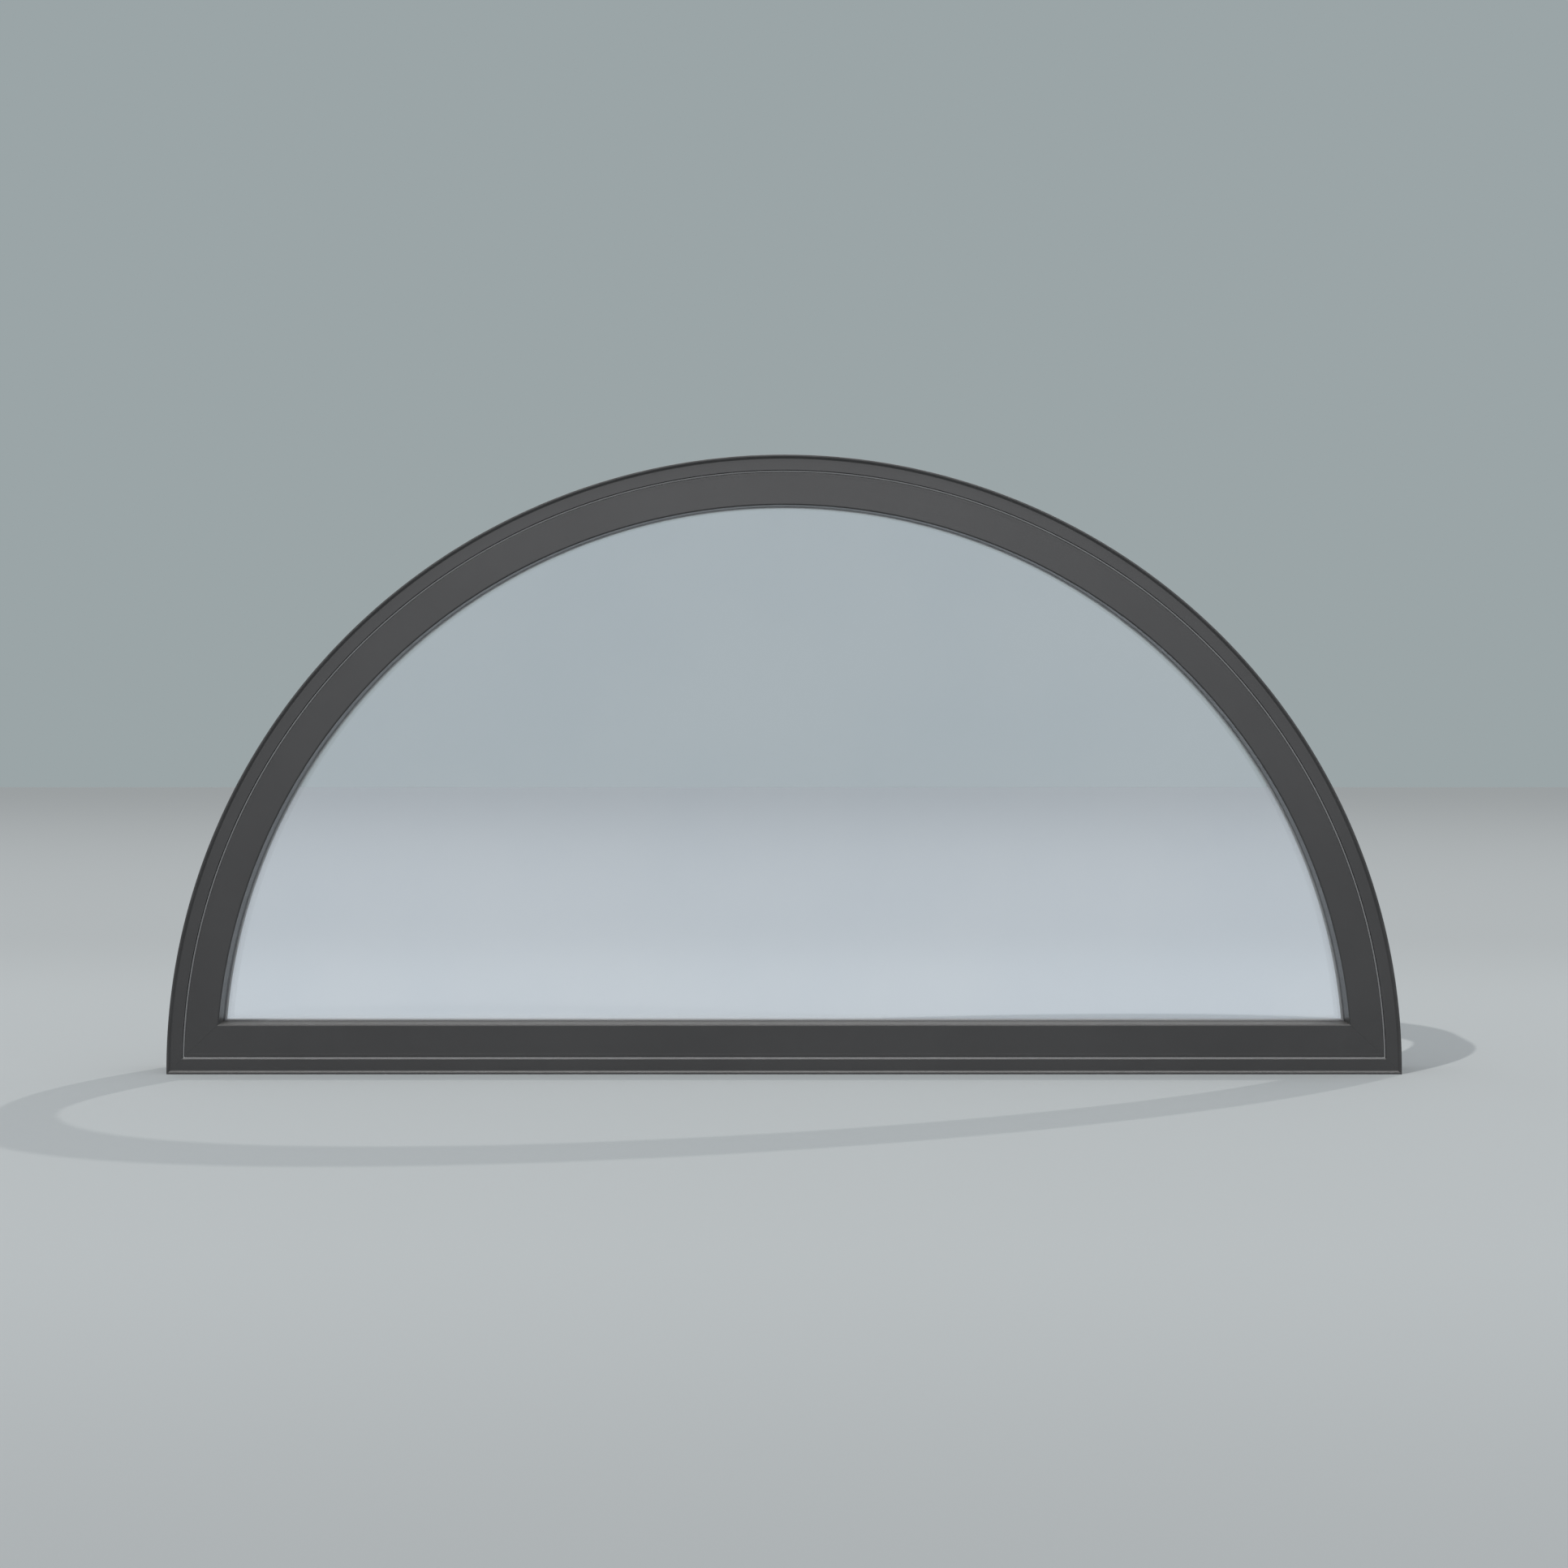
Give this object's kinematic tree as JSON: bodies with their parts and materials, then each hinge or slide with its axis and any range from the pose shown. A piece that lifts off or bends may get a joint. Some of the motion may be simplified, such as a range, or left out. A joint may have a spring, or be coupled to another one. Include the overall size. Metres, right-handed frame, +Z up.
{
  "type": "half-round fixed window",
  "caption": "Half-round fixed window: thermally broken metal frame and sash round insulating glass, for an arched opening or above a window or door.",
  "frame": {"origin": "middle of the sill's underside, half way through the depth", "axes": "+X along the sill to the right as seen from outside, +Y through the wall to the inside, +Z up"},
  "size_m": [1.524, 0.09, 0.7618],
  "materials": {
    "frame_outside": "dark charcoal powder coat, satin",
    "frame_inside": "dark charcoal powder coat, satin",
    "sash_outside": "dark charcoal powder coat, satin",
    "sash_inside": "dark charcoal powder coat, satin",
    "glazing_bead": "dark charcoal powder coat, satin",
    "thermal_break": "black glass-filled polyamide, matt",
    "glazing_gasket": "black gasket rubber, matt",
    "seat_gasket": "black gasket rubber, matt",
    "joint_seal": "grey rubber seal, matt",
    "spacer": "light grey warm-edge spacer, matt",
    "edge_sealant": "dark grey sealant",
    "outer_pane": "clear float glass, faintly blue",
    "inner_pane": "clear float glass, faintly blue",
    "setting_block": "black rubber",
    "sash_packer": "dark plastic"
  },
  "bodies": {
    "root": {"frame_outer_arch": "frame_outside", "frame_outer_sill": "frame_outside", "frame_thermal_break_arch": "thermal_break", "frame_thermal_break_sill": "thermal_break", "frame_inner_arch": "frame_inside", "frame_inner_sill": "frame_inside", "sash_outer_arch": "sash_outside", "sash_outer_rail": "sash_outside", "sash_thermal_break_arch": "thermal_break", "sash_thermal_break_rail": "thermal_break", "sash_inner_arch": "sash_inside", "sash_inner_rail": "sash_inside", "joint_seal_arch": "joint_seal", "joint_seal_bottom": "joint_seal", "seat_gasket_arch": "seat_gasket", "seat_gasket_bottom": "seat_gasket", "outer_gasket_arch": "glazing_gasket", "outer_gasket_bottom": "glazing_gasket", "inner_gasket_arch": "glazing_gasket", "inner_gasket_bottom": "glazing_gasket", "glazing_bead_arch_left": "glazing_bead", "glazing_bead_arch_right": "glazing_bead", "glazing_bead_bottom": "glazing_bead", "spacer_arch": "spacer", "spacer_bottom": "spacer", "outer_pane": "outer_pane", "inner_pane": "inner_pane", "edge_sealant": "edge_sealant", "setting_block_left": "setting_block", "setting_block_right": "setting_block", "sash_packer_left": "sash_packer", "sash_packer_right": "sash_packer"}
  },
  "joints": []
}
